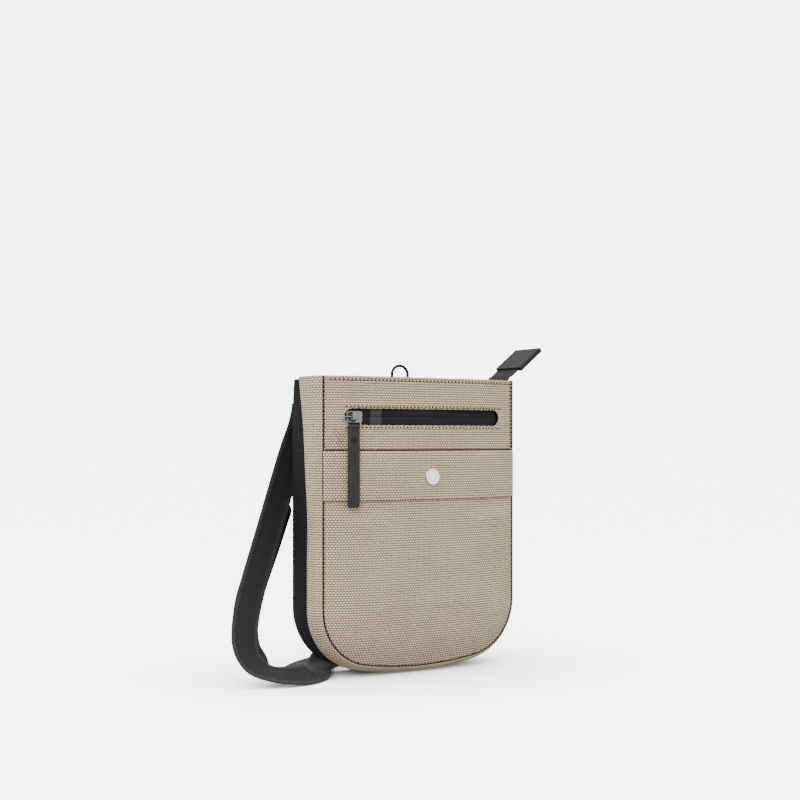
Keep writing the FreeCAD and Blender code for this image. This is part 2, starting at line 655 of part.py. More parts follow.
PARTS = {
    "front_panel": front_shell,
    "pocket_panel": pocket_shell,
    "pocket_hem": pocket_hem,
    "side_gusset": side_gusset,
    "back_rim": back_rim,
    "back_panel": back_panel,
    "main_lining": main_lining,
    "zip_pocket_bag": zip_pocket_bag,
    "snap_cap": snap_cap,
    "snap_socket": snap_socket,
    "snap_stud": snap_stud,
    "snap_rivet": snap_rivet,
    "front_zip_tape_upper": lambda: zip_half(RIGHT, "tape"),
    "front_zip_tape_lower": lambda: zip_half(LEFT, "tape"),
    "front_zip_coil_upper": lambda: zip_half(RIGHT, "coil"),
    "front_zip_coil_lower": lambda: zip_half(LEFT, "coil"),
    "front_zip_stop_right": lambda: zip_end_stop(WINDOW_HALF_L - 1.6),
    "front_zip_slider": front_zip_slider,
    "front_zip_ring": front_zip_ring,
    "front_zip_pull": front_pull,
    "front_zip_pull_eyelet": front_pull_eyelet,
    "top_zip_tape_front": lambda: top_tape(LEFT),
    "top_zip_tape_back": lambda: top_tape(RIGHT),
    "top_zip_coil_front": lambda: top_coil(LEFT),
    "top_zip_coil_back": lambda: top_coil(RIGHT),
    "top_zip_slider": top_zip_slider,
    "top_zip_pull": top_zip_pull,
    "top_zip_ramp": top_zip_ramp,
    "top_zip_tail": top_zip_tail,
    "top_zip_end_tab": top_zip_end_tab,
    "top_ring": top_ring,
    "top_ring_tab": top_ring_tab,
    "strap_anchor_left": lambda: strap_anchor(LEFT),
    "strap_anchor_right": lambda: strap_anchor(RIGHT),
    "strap_short": strap_short,
    "strap_ring": strap_ring,
    "strap_doubler": strap_doubler,
    "strap_adjuster": strap_adjuster,
    "strap_webbing": strap_webbing,
}


def main():
    os.makedirs("parts", exist_ok=True)
    for node, make in PARTS.items():
        shape = make()
        if len(shape.Solids) == 1:
            shape = shape.Solids[0]
        shape.translate(-ORIGIN)
        if not shape.isValid():
            print("invalid:", node)
        shape.exportStep("parts/%s.step" % node)
        bounds = shape.BoundBox
        print("%-22s %d solid, %8.0f mm3, x %.1f..%.1f y %.1f..%.1f z %.1f..%.1f" % (
            node, len(shape.Solids), shape.Volume, bounds.XMin, bounds.XMax,
            bounds.YMin, bounds.YMax, bounds.ZMin, bounds.ZMax))


main()
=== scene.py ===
import bpy
import math
import random
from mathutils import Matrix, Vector


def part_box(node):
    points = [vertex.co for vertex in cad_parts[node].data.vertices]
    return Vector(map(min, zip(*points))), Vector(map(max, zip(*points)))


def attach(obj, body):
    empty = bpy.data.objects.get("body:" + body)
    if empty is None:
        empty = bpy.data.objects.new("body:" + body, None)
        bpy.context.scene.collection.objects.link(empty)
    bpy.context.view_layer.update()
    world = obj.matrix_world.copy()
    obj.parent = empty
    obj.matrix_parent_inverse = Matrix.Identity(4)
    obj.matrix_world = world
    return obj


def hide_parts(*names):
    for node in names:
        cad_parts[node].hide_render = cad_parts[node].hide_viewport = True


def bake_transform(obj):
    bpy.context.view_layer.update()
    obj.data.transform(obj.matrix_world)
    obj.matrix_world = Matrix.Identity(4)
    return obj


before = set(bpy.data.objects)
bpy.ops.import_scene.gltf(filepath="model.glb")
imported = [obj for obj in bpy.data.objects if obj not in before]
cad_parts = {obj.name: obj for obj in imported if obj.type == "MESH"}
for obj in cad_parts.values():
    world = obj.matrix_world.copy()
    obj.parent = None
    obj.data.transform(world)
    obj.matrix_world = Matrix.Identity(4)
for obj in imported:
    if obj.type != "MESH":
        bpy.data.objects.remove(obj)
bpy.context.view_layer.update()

random.seed(7)

# ---------------------------------------------------------------- where things are
# Lengths are in millimetres in the pouch's own coordinates, as in the CAD source: X = 0 is the pouch's
# middle, Y = 0 the front seam's plane, Z = 0 the floor. at() turns them into the frame's metres.
GUSSET_LOW, GUSSET_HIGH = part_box("side_gusset")
ORIGIN_X = -500 * (GUSSET_LOW[0] + GUSSET_HIGH[0])
ORIGIN_Y = -1000 * GUSSET_LOW[1]


def at(x, y, z):
    return Vector(((x - ORIGIN_X) / 1000, (y - ORIGIN_Y) / 1000, z / 1000))


HALF_W = 75.4
TOP_Z = 200.0
SEAM_Z = 5.0
CORNER_R = 38.0
BOTTOM_R = 260.0
BULGE = 5.0
GUSSET_Y = 14.2
RIM_Y = 36.0
FRONT_CROWN = 8.2
POCKET_CROWN = 13.3
BACK_CROWN = 3.0
MOUTH_Z = 150.5
HEM_Z = 118.4
SNAP_Z = 133.1
ZIP_Z = 173.1
CORE_INSET = HALF_W - 0.52   # the last ring of a pillow, just off the middle line
WINDOW_HALF_L = 62.0
WINDOW_HALF_H = 5.8
ARC_R = 400.0                # the front zip bows on this radius
TAPE_FACE_Y = 1.0 - 7.5 + 0.1
HEM_HELD_X = 44.0            # a place on the hem outside the pull
HEM_FREE_X = 26.0            # and a place on it nearer the middle
HOLLOW_X, HOLLOW_HALF_W = 51.0, 22.0   # where the pocket is drawn in under the pull, and how widely
HOLLOW_DEPTH, HOLLOW_FOOT_Z = 2.1, 104.0

CLOTH_T = 1.0
HEM_T = 1.2
BAND_T = 0.9
TAPE_T = 0.5
BACK_T = 2.0
SEAM_ANGLE = math.radians(50)
CLOTH_SLOT, THREAD_SLOT, HOLE_SHADE_SLOT, SEAM_SHADOW_SLOT = range(4)

# ---------------------------------------------------------------- camera
camera = bpy.data.objects.new("camera", bpy.data.cameras.new("camera"))
bpy.context.collection.objects.link(camera)
camera.location = at(-476.9, -763.2, 157.9)
camera.rotation_euler = (math.radians(90), 0, math.radians(-32))
camera.data.lens = 59.5
camera.data.shift_x = -0.026
camera.data.shift_y = 0.05
bpy.context.scene.camera = camera


# ---------------------------------------------------------------- materials
class Expr:
    """A value inside a material, so that patterns read as arithmetic."""

    def __init__(self, tree, socket):
        self.tree, self.socket = tree, socket

    def math(self, operation, *others):
        node = self.tree.nodes.new("ShaderNodeMath")
        node.operation = operation
        self.tree.links.new(self.socket, node.inputs[0])
        for index, other in enumerate(others):
            if isinstance(other, Expr):
                self.tree.links.new(other.socket, node.inputs[index + 1])
            else:
                node.inputs[index + 1].default_value = other
        return Expr(self.tree, node.outputs[0])

    def __add__(self, other):
        return self.math("ADD", other)

    def __sub__(self, other):
        return self.math("SUBTRACT", other)

    def __mul__(self, other):
        return self.math("MULTIPLY", other)

    def __truediv__(self, other):
        return self.math("DIVIDE", other)

    def sin(self):
        return self.math("SINE")

    def abs(self):
        return self.math("ABSOLUTE")

    def floor(self):
        return self.math("FLOOR")

    def fract(self):
        return self.math("FRACT")

    def power(self, exponent):
        return self.math("POWER", exponent)

    def clamp(self):
        return self.math("MAXIMUM", 0.0).math("MINIMUM", 1.0)

    def ramp(self, low, high):
        """0 below low, 1 above high."""
        return ((self - low) / (high - low)).clamp()


class Material:
    """A principled material with the pieces its pattern needs."""

    def __init__(self, name):
        self.material = bpy.data.materials.new(name)
        self.material.use_nodes = True
        self.tree = self.material.node_tree
        self.shader = self.tree.nodes["Principled BSDF"]

    def weave_uv(self):
        node = self.tree.nodes.new("ShaderNodeUVMap")
        node.uv_map = "weave"
        split = self.tree.nodes.new("ShaderNodeSeparateXYZ")
        self.tree.links.new(node.outputs[0], split.inputs[0])
        return Expr(self.tree, split.outputs[0]), Expr(self.tree, split.outputs[1])

    def object_xyz(self):
        node = self.tree.nodes.new("ShaderNodeTexCoord")
        split = self.tree.nodes.new("ShaderNodeSeparateXYZ")
        self.tree.links.new(node.outputs["Object"], split.inputs[0])
        return [Expr(self.tree, split.outputs[i]) * 1000.0 for i in range(3)]

    def noise(self, size_mm, detail=2.0):
        """Noise from 0 to 1 with features of about this size."""
        coords = self.tree.nodes.new("ShaderNodeTexCoord")
        node = self.tree.nodes.new("ShaderNodeTexNoise")
        node.inputs["Scale"].default_value = 1000.0 / size_mm
        node.inputs["Detail"].default_value = detail
        self.tree.links.new(coords.outputs["Object"], node.inputs["Vector"])
        return Expr(self.tree, node.outputs[0])

    def mix(self, factor, low, high):
        """A colour between low and high."""
        node = self.tree.nodes.new("ShaderNodeMix")
        node.data_type = "RGBA"
        self.tree.links.new(factor.socket, node.inputs["Factor"])
        for socket, colour in ((node.inputs[6], low), (node.inputs[7], high)):
            if isinstance(colour, tuple):
                socket.default_value = (*colour, 1)
            else:
                self.tree.links.new(colour, socket)
        return node.outputs[2]

    def colour(self, value):
        if isinstance(value, tuple):
            self.shader.inputs["Base Color"].default_value = (*value, 1)
        else:
            self.tree.links.new(value, self.shader.inputs["Base Color"])

    def rough(self, value):
        if isinstance(value, Expr):
            self.tree.links.new(value.socket, self.shader.inputs["Roughness"])
        else:
            self.shader.inputs["Roughness"].default_value = value

    def bump(self, height, depth_mm):
        node = self.tree.nodes.new("ShaderNodeBump")
        node.inputs["Strength"].default_value = 1.0
        node.inputs["Distance"].default_value = depth_mm / 1000
        self.tree.links.new(height.socket, node.inputs["Height"])
        self.tree.links.new(node.outputs[0], self.shader.inputs["Normal"])

    def set(self, **values):
        for name, value in values.items():
            self.shader.inputs[name.replace("_", " ")].default_value = value


def plain_weave(u, v, pitch_u, pitch_v):
    """Height from 0, in the gaps, to 1, of threads that go over and under each other by turns."""
    across, along = u / pitch_u, v / pitch_v
    fu, fv = (across.fract() * math.pi).sin(), (along.fract() * math.pi).sin()
    parity = (across.floor() + along.floor()).math("MODULO", 2.0).abs()
    row = fv.power(0.45) * (fu * 0.45 + 0.55)
    column = fu.power(0.45) * (fv * 0.45 + 0.55)
    return row * (parity * -1.0 + 1.0) + column * parity


def brick_weave(u, v, pitch_u, pitch_v):
    """Height of short floats in rows, each row half a float along from the last."""
    along = v / pitch_v
    across = u / pitch_u + along.floor() * 0.5
    return (across.fract() * math.pi).sin().power(0.5) * (along.fract() * math.pi).sin().power(0.6)


def woven_cloth():
    """Coarse pale cloth: light threads, brown in the gaps between them."""
    m = Material("woven_cloth")
    u, v = m.weave_uv()
    wobble = (m.noise(9.0) - 0.5) * 0.5
    height = brick_weave(u + wobble, v + wobble * 0.6, 1.95, 1.6)
    thread = m.noise(0.8, 3.0)
    patch = m.noise(26.0, 3.0)
    tone = (height.ramp(0.18, 0.82) + (thread - 0.5) * 0.35 + (patch - 0.5) * 0.22).clamp()
    m.colour(m.mix(tone, (0.075, 0.041, 0.016), (1.0, 0.82, 0.535)))
    m.rough(height * -0.2 + 0.86)
    m.bump(height + thread * 0.25, 0.5)
    m.set(Sheen_Weight=0.15, Sheen_Roughness=0.5)
    return m.material


def black_cloth():
    """The black back: a tighter weave."""
    m = Material("black_cloth")
    u, v = m.weave_uv()
    height = plain_weave(u, v, 1.05, 1.05)
    grain = m.noise(0.7, 3.0)
    tone = (height.power(1.6) * 0.7 + (grain - 0.5) * 0.5).clamp()
    m.colour(m.mix(tone, (0.0012, 0.0012, 0.0016), (0.0115, 0.0108, 0.0125)))
    m.rough(height * -0.15 + 0.85)
    m.bump(height + grain * 0.3, 0.3)
    m.set(Sheen_Weight=0.02, Specular_IOR_Level=0.25)
    return m.material


def webbing():
    """Black strap webbing: fine ribs across, a lighter ribbed selvedge at both edges."""
    m = Material("webbing")
    across, along = m.weave_uv()
    ribs = plain_weave(across, along, 1.3, 0.9)
    edge = across.abs().ramp(6.6, 7.2)
    selvedge_rib = ((across * (math.pi / 0.65)).sin() * 0.5 + 0.5) * edge
    grain = m.noise(0.5, 3.0)
    tone = (ribs * 0.35 + edge * 0.45 + selvedge_rib * 0.3 + (grain - 0.5) * 0.3).clamp()
    m.colour(m.mix(tone, (0.0035, 0.0035, 0.0038), (0.036, 0.036, 0.037)))
    m.rough(0.68)
    m.bump(ribs + selvedge_rib * 0.8 + grain * 0.2, 0.22)
    m.set(Sheen_Weight=0.08, Specular_IOR_Level=0.35)
    return m.material


def zip_tape():
    """Coated zip tape: smooth, fine lines along it."""
    m = Material("zip_tape")
    x, y, z = m.object_xyz()
    lines = (z * (2 * math.pi / 0.95)).sin() * 0.5 + 0.5
    picks = (x * (2 * math.pi / 0.8)).sin() * 0.5 + 0.5
    grain = m.noise(0.6, 3.0)
    tone = (lines * 0.35 + picks * 0.15 + grain * 0.4).clamp()
    m.colour(m.mix(tone, (0.002, 0.002, 0.002), (0.011, 0.011, 0.011)))
    m.rough(grain * 0.2 + 0.5)
    m.bump(lines * 0.6 + picks * 0.4, 0.16)
    m.set(Specular_IOR_Level=0.3)
    return m.material


def speckled(name, low, high, rough, grain_mm=0.6, depth_mm=0.05, **values):
    """A moulded, enamelled or cast finish: two tones of grain with a fine bump."""
    m = Material(name)
    grain = m.noise(grain_mm, 4.0)
    patch = m.noise(grain_mm * 14, 3.0)
    tone = ((grain - 0.5) * 1.3 + (patch - 0.5) * 0.8 + 0.5).clamp()
    m.colour(m.mix(tone, low, high))
    m.rough(grain * 0.16 + (rough - 0.08))
    m.bump(grain, depth_mm)
    m.set(**values)
    return m.material


def leather():
    """Matt synthetic leather with a pebbled grain."""
    m = Material("tab_leather")
    coords = m.tree.nodes.new("ShaderNodeTexCoord")
    cells = m.tree.nodes.new("ShaderNodeTexVoronoi")
    cells.inputs["Scale"].default_value = 1100.0
    m.tree.links.new(coords.outputs["Object"], cells.inputs["Vector"])
    pebble = Expr(m.tree, cells.outputs["Distance"])
    grain = m.noise(0.5, 3.0)
    tone = (pebble * 0.6 + grain * 0.5).clamp()
    m.colour(m.mix(tone, (0.006, 0.006, 0.0065), (0.019, 0.019, 0.020)))
    m.rough(grain * 0.2 + 0.48)
    m.bump(pebble, 0.12)
    m.set(Specular_IOR_Level=0.3)
    return m.material


CLOTH = woven_cloth()
BLACK = black_cloth()
WEBBING = webbing()
TAPE = zip_tape()
THREAD = speckled("thread", (0.66, 0.52, 0.33), (0.92, 0.77, 0.54), 0.75, 0.3, 0.03)
# Painted shade: the dark inside of each needle hole.
HOLE_SHADE = speckled("stitch_hole_painted_shade", (0.006, 0.004, 0.002), (0.022, 0.013, 0.007), 0.95, 0.3, 0.02)
# Painted shade for creases: the seam's furrow and the gap over the pocket's mouth.
SEAM_SHADOW = speckled("seam_shadow", (0.012, 0.008, 0.004), (0.06, 0.038, 0.02), 0.95, 0.8, 0.05)
# Dark thread, and also the painted shade inside the pull's eyelet.
DARK_THREAD_AND_SHADE = speckled("dark_thread_and_shade", (0.006, 0.006, 0.006), (0.03, 0.03, 0.03), 0.6, 0.3, 0.03)
LIGHTER_TAPE = speckled("zip_tape_lighter", (0.016, 0.016, 0.016), (0.032, 0.032, 0.032), 0.5, 0.5, 0.05)
COIL = speckled("zip_coil", (0.006, 0.006, 0.006), (0.02, 0.02, 0.02), 0.5, 0.5, 0.05)
RUBBER = speckled("pull_rubber", (0.008, 0.0085, 0.008), (0.022, 0.023, 0.022), 0.6, 0.5, 0.07)
ENAMEL = speckled("black_metal", (0.004, 0.004, 0.004), (0.014, 0.014, 0.014), 0.34, 1.2, 0.01, Metallic=0.4)
GUNMETAL = speckled("gunmetal", (0.16, 0.16, 0.165), (0.46, 0.46, 0.47), 0.22, 1.0, 0.015, Metallic=1.0)
NICKEL = speckled("snap_metal", (0.86, 0.84, 0.80), (0.98, 0.97, 0.94), 0.34, 0.7, 0.01, Metallic=0.9)
PLASTIC = speckled("strap_plastic", (0.006, 0.006, 0.006), (0.02, 0.02, 0.02), 0.42, 0.8, 0.03)
LINING = speckled("lining", (0.02, 0.02, 0.02), (0.045, 0.045, 0.045), 0.85, 0.6, 0.06)
SEWN_WEBBING = speckled("webbing_sewn", (0.004, 0.004, 0.0043), (0.030, 0.030, 0.031), 0.68, 0.6, 0.12)
LEATHER = leather()


# ---------------------------------------------------------------- mesh making
class Sheet:
    """Collects faces with a weave coordinate in millimetres at every corner, and a material for each."""

    def __init__(self, name, *materials):
        self.name, self.materials = name, materials
        self.points, self.faces, self.uvs, self.slots = [], [], [], []

    def grid(self, rows, uv_rows, slot=0, closed=False, flip=False):
        """A grid of points in pouch coordinates, with matching weave coordinates."""
        base, width = len(self.points), len(rows[0])
        for row in rows:
            self.points.extend(at(*p) for p in row)
        columns = width if closed else width - 1
        for r in range(len(rows) - 1):
            for c in range(columns):
                corners = [(r, c), (r, c + 1), (r + 1, c + 1), (r + 1, c)]
                if flip:
                    corners.reverse()
                self.faces.append([base + i * width + j % width for i, j in corners])
                self.uvs.extend(uv_rows[i][j] for i, j in corners)
                self.slots.append(slot)

    def cap(self, first, count, backward, slot=0):
        """One face over a ring of points that are already there."""
        ring = list(range(first, first + count))
        self.faces.append(ring[::-1] if backward else ring)
        self.uvs.extend((0, 0) for _ in ring)
        self.slots.append(slot)

    def tube(self, path, radius, slot=0, sides=8, taper=0.0):
        """A round tube along points in pouch coordinates, closed at its ends."""
        path = [Vector(p) for p in path]
        rows, uvs = [], []
        side = None
        for i, point in enumerate(path):
            forward = (path[min(i + 1, len(path) - 1)] - path[max(i - 1, 0)]).normalized()
            if side is None:
                side = forward.orthogonal().normalized()
            side = (side - forward * side.dot(forward)).normalized()
            up = forward.cross(side)
            scale = 1.0
            if taper:
                share = i / (len(path) - 1)
                scale = max(0.15, min(1.0, share / taper, (1 - share) / taper)) ** 0.5
            angles = [2 * math.pi * k / sides for k in range(sides)]
            rows.append([point + (side * math.cos(a) + up * math.sin(a)) * radius * scale for a in angles])
            uvs.append([(k, i) for k in range(sides + 1)])
        base = len(self.points)
        self.grid(rows, uvs, slot, closed=True)
        self.cap(base, sides, True, slot)
        self.cap(len(self.points) - sides, sides, False, slot)

    def make(self, smooth=True):
        mesh = bpy.data.meshes.new(self.name)
        mesh.from_pydata(self.points, [], self.faces)
        layer = mesh.uv_layers.new(name="weave")
        for loop, uv in zip(layer.data, self.uvs):
            loop.uv = uv
        for material in self.materials:
            mesh.materials.append(material)
        mesh.polygons.foreach_set("material_index", self.slots)
        mesh.polygons.foreach_set("use_smooth", [smooth] * len(self.faces))
        mesh.update()
        piece = bpy.data.objects.new(self.name, mesh)
        bpy.context.collection.objects.link(piece)
        return piece


def modify(piece, kind, **settings):
    """Add a modifier and apply it."""
    modifier = piece.modifiers.new(kind.lower(), kind)
    for name, value in settings.items():
        setattr(modifier, name, value)
    bpy.context.view_layer.objects.active = piece
    piece.select_set(True)
    bpy.ops.object.modifier_apply(modifier=modifier.name)
    piece.select_set(False)
    return piece


def use(piece, body, slot, *nodes):
    """Ride a body and stand for CAD nodes; the slot argument is not used."""
    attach(piece, body)
    if nodes:
        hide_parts(*nodes)
    return piece


# ---------------------------------------------------------------- the pouch's outline
def outline(inset, top=TOP_Z, step=2.2):
    """Points round the U, from the left top corner to the right: (x, z, outward x, outward z, length)."""
    half = HALF_W - inset
    corner = max(CORNER_R - inset, 0.5)
    bottom = BOTTOM_R - inset
    reach = half - corner
    centre_z = SEAM_Z + inset + bottom
    lean = math.asin(reach / (bottom - corner))
    corner_z = centre_z - (bottom - corner) * math.cos(lean)
    sides = max(2, round((TOP_Z - 45) / step))
    turns = 24
    floor_steps = 40
    points = []
    for i in range(sides):
        points.append((-half, top + (corner_z - top) * i / sides, -1.0, 0.0))
    for i in range(turns):
        angle = math.pi / 2 + (lean - math.pi / 2) * i / turns
        points.append((-reach - corner * math.sin(angle), corner_z - corner * math.cos(angle),
                       -math.sin(angle), -math.cos(angle)))
    for i in range(floor_steps // 2 + 1):
        angle = lean * (1 - i / (floor_steps // 2))
        points.append((-bottom * math.sin(angle), centre_z - bottom * math.cos(angle),
                       -math.sin(angle), -math.cos(angle)))
    mirrored = [(-x, z, -nx, nz) for x, z, nx, nz in reversed(points[:-1])]
    points += mirrored
    length, result = 0.0, []
    for i, (x, z, nx, nz) in enumerate(points):
        if i:
            length += math.hypot(x - points[i - 1][0], z - points[i - 1][1])
        result.append((x, z, nx, nz, length))
    return result


def rise(inset, crown):
    return crown * (1 - (1 - min(inset, HALF_W) / HALF_W) ** 4)


def seam_distance(x, z):
    """How far a point on the front is inside the seam."""
    reach = HALF_W - CORNER_R
    centre_z = SEAM_Z + BOTTOM_R
    lean = math.asin(reach / (BOTTOM_R - CORNER_R))
    corner_z = centre_z - (BOTTOM_R - CORNER_R) * math.cos(lean)
    side = abs(x)
    if z >= corner_z:
        return HALF_W - side
    angle = math.atan2(side - reach, corner_z - z)
    if side > reach and angle > lean:
        return CORNER_R - math.hypot(side - reach, corner_z - z)
    return BOTTOM_R - math.hypot(side, centre_z - z)


def soft(x, z):
    """The small unevenness of a stuffed cloth front, in millimetres."""
    waves = 0.30 * math.sin(x / 17 + z / 31) + 0.22 * math.sin(z / 13 - x / 23 + 1.3)
    return waves * min(1.0, max(0.0, seam_distance(x, z)) / 18)


def pucker(x, z):
    """The gathered cloth left of the pull, under the zip's left end."""
    dx, dz = (x + 66.5) / 4.2, (z - 158) / 9.0
    return 1.3 * math.exp(-dx * dx - dz * dz) * math.sin((x + z * 0.35) * 1.15)


def front_y(x, z, crown=FRONT_CROWN):
    """The front panel's outer face."""
    return -rise(max(0.0, seam_distance(x, z)), crown) - soft(x, z) + pucker(x, z)


def pocket_y(x, z):
    """The slip pocket's outer face: its mouth is drawn in under the pull's two end places."""
    stands_out = rise(max(0.0, seam_distance(x, z)), POCKET_CROWN) + soft(x, z) + 0.5
    across = max(0.0, 1 - ((abs(x) - HOLLOW_X) / HOLLOW_HALF_W) ** 2)
    return HOLLOW_DEPTH * across * min(1.0, max(0.0, (z - HOLLOW_FOOT_Z) / 8)) - stands_out


def pillow(sheet, lines, surface, flip):
    """Rings of the outline from the seam inward, closed down the middle."""
    rows = [[(x, surface(x, z), z) for x, z, _, _, _ in line] for line in lines]
    uvs = [[(x, z) for x, z, _, _, _ in line] for line in lines]
    sheet.grid(rows, uvs, flip=flip)
    half = len(rows[-1]) // 2 + 1
    left, right = rows[-1][:half], rows[-1][::-1][:half]
    sheet.grid([left, right], [[(x, z) for x, _, z in left], [(x, z) for x, _, z in right]], flip=flip)


def thicken(sheet, thickness_mm):
    """Make the sheet, weld its grids together and give the cloth its thickness."""
    piece = sheet.make()
    modify(piece, "WELD", merge_threshold=0.00002)
    modify(piece, "SOLIDIFY", thickness=thickness_mm / 1000, offset=-1.0)
    piece.data.set_sharp_from_angle(angle=SEAM_ANGLE)
    return piece


def face_sheet(name, surface, top, low_z=None, x_range=None):
    """A cloth panel on a surface y(x, z): all inside the seam below top, or a band down to low_z."""
    sheet = Sheet(name, CLOTH, THREAD, HOLE_SHADE, SEAM_SHADOW)
    if x_range is None:
        insets = [0, 0.7, 1.6, 2.8, 4.4, 6.4] + [8.5 + 2.4 * i for i in range(28)] + [CORE_INSET]
        pillow(sheet, [outline(inset, top) for inset in insets], surface, flip=False)
    else:
        low_x, high_x = x_range
        columns, lines = 44, 22
        rows, uvs = [], []
        for j in range(lines + 1):
            z = top + (low_z - top) * j / lines
            xs = [low_x + (high_x - low_x) * i / columns for i in range(columns + 1)]
            rows.append([(x, surface(x, z), z) for x in xs])
            uvs.append([(x, z) for x in xs])
        sheet.grid(rows, uvs)
    return sheet


# ---------------------------------------------------------------- stitching
def stitch_row(sheet, points, normals, pitch=2.9, length=2.0, radius=0.34):
    """Stitches along a line, each a small arched thread, with a dark tube of painted shade in the needle hole
    between them.
    """
    lengths = [0.0]
    for a, b in zip(points, points[1:]):
        lengths.append(lengths[-1] + (Vector(b) - Vector(a)).length)

    def place(distance):
        distance = min(max(distance, 0), lengths[-1])
        i = next((k for k in range(1, len(lengths)) if lengths[k] >= distance), len(lengths) - 1)
        share = (distance - lengths[i - 1]) / max(lengths[i] - lengths[i - 1], 1e-6)
        return Vector(points[i - 1]).lerp(Vector(points[i]), share), Vector(normals[i])

    count = int(lengths[-1] / pitch)
    for k in range(count):
        middle = (k + 0.5) * lengths[-1] / count + random.uniform(-0.15, 0.15)
        path = []
        for share in (-0.5, -0.3, 0.0, 0.3, 0.5):
            point, normal = place(middle + share * length)
            path.append(point + normal * (0.30 * math.cos(share * math.pi) - 0.05))
        sheet.tube(path, radius, THREAD_SLOT, sides=6, taper=0.3)
        # A dark tube of painted shade in the needle hole after the stitch.
        point, normal = place(middle + pitch / 2)
        ahead, _ = place(middle + pitch / 2 + 0.5)
        along = (ahead - point).normalized() if (ahead - point).length > 0.01 else Vector((1, 0, 0))
        ends = [point - along * 0.45 + normal * 0.1, point + along * 0.45 + normal * 0.1]
        sheet.tube(ends, 0.46, HOLE_SHADE_SLOT, sides=6)


def row_on(sheet, surface, x0, x1, z, **options):
    """A straight stitch row at a height, on a surface."""
    steps = max(4, int(abs(x1 - x0) / 2))
    xs = [x0 + (x1 - x0) * i / steps for i in range(steps + 1)]
    points = [(x, surface(x, z), z) for x in xs]
    stitch_row(sheet, points, [(0, -1, 0)] * len(points), **options)


# ---------------------------------------------------------------- shell
def front_panel():
    sheet = face_sheet("front_panel_cloth", front_y, TOP_Z)
    piece = thicken(sheet, CLOTH_T)
    cutter = Sheet("window_cutter", CLOTH)
    rim = []
    for side in (-1, 1):
        for k in range(13):
            angle = math.radians(-90 + 15 * k) * side
            cx = side * (WINDOW_HALF_L - WINDOW_HALF_H)
            rim.append((cx + side * WINDOW_HALF_H * math.cos(angle), ZIP_Z + WINDOW_HALF_H * math.sin(angle)))
    rim.sort(key=lambda p: math.atan2(p[1] - ZIP_Z, p[0]))
    rows = [[(x, y, z) for x, z in rim] for y in (-30, 12)]
    cutter.grid(rows, [[(0, 0)] * (len(rim) + 1)] * 2, closed=True)
    cutter.cap(0, len(rim), False)
    cutter.cap(len(rim), len(rim), True)
    tool = cutter.make(smooth=False)
    modify(tool, "TRIANGULATE")
    bpy.context.view_layer.objects.active = tool
    tool.select_set(True)
    bpy.ops.object.mode_set(mode="EDIT")
    bpy.ops.mesh.select_all(action="SELECT")
    bpy.ops.mesh.normals_make_consistent(inside=False)
    bpy.ops.object.mode_set(mode="OBJECT")
    tool.select_set(False)
    modify(piece, "BOOLEAN", operation="DIFFERENCE", solver="EXACT", object=tool)
    bpy.data.objects.remove(tool)
    return use(piece, "pouch", "woven_cloth", "front_panel")


def front_stitching():
    """Stitch rows round the zip window and along the top edge."""
    sheet = Sheet("front_stitching", CLOTH, THREAD, HOLE_SHADE, SEAM_SHADOW)
    edge = HALF_W - 2.5
    row_on(sheet, front_y, -edge, edge, 197.6, pitch=2.8)
    reach = WINDOW_HALF_L + 1.0
    row_on(sheet, front_y, -reach, reach, ZIP_Z + WINDOW_HALF_H + 1.1, pitch=2.8)
    row_on(sheet, front_y, -reach, reach, ZIP_Z - WINDOW_HALF_H - 1.1, pitch=2.8)
    return use(sheet.make(), "pouch", "woven_cloth")


def window_lip():
    """The turned-in edge of the cloth round the zip window."""
    sheet = Sheet("zip_window_lip", CLOTH, THREAD, HOLE_SHADE, SEAM_SHADOW)
    path = []
    for side in (1, -1):
        cx = side * (WINDOW_HALF_L - WINDOW_HALF_H)
        for k in range(13):
            angle = math.radians(90 - 15 * k)
            path.append((cx + side * WINDOW_HALF_H * math.cos(angle),
                         ZIP_Z + side * WINDOW_HALF_H * math.sin(angle)))
        other = -side * (WINDOW_HALF_L - WINDOW_HALF_H)
        for k in range(1, 40):
            share = k / 40
            path.append((cx + (other - cx) * share, ZIP_Z - side * WINDOW_HALF_H))
    points = [(x, front_y(x, z) + 0.35, z) for x, z in path]
    points.append(points[0])
    sheet.tube(points, 0.42, 0, sides=8)
    return use(sheet.make(), "pouch", "woven_cloth")


def pocket_panel():
    """The slip pocket below its hem."""
    sheet = face_sheet("pocket_panel_cloth", pocket_y, HEM_Z)
    return use(thicken(sheet, CLOTH_T), "pouch", "woven_cloth", "pocket_panel")


def zip_tape_half(side):
    """One half of the front zip's coated tape: it swells a little toward the meeting edge."""
    profile = [(0.04, 0.55), (0.12, 0.02), (0.5, -0.16), (1.6, -0.24), (3.2, -0.22), (4.6, -0.08),
               (6.0, 0.02), (10.9, 0.02)]
    half_name = "upper" if side > 0 else "lower"
    sheet = Sheet("zip_tape_" + half_name, TAPE, LIGHTER_TAPE)
    # A short stretch of the tape, right of the pull, is a lighter grey.
    low_x, lighter_x, plain_x, high_x = -65.5, -42.4, -34.2, 65.5
    for start, end, slot in ((low_x, lighter_x, 0), (lighter_x, plain_x, 1), (plain_x, high_x, 0)):
        count = max(4, round((end - start) / 2))
        rows, uvs = [], []
        for i in range(count + 1):
            x = start + (end - start) * i / count
            bow = ARC_R - math.sqrt(ARC_R ** 2 - x ** 2)
            rows.append([(x, TAPE_FACE_Y + bow + y, ZIP_Z + side * z) for z, y in profile])
            uvs.append([(x, z) for z, _ in profile])
        sheet.grid(rows, uvs, slot, flip=side < 0)
    return use(thicken(sheet, TAPE_T), "pouch", "zip_tape", "front_zip_tape_" + half_name)


def hem_y(x, z):
    """The doubled hem stands out a little from the pocket."""
    lift = 0.45 * min(1.0, (z - HEM_Z + 1) / 2.0)
    lip = 0.6 * math.exp(-((MOUTH_Z - z) / 1.6) ** 2)
    return pocket_y(x, z) - lift + lip


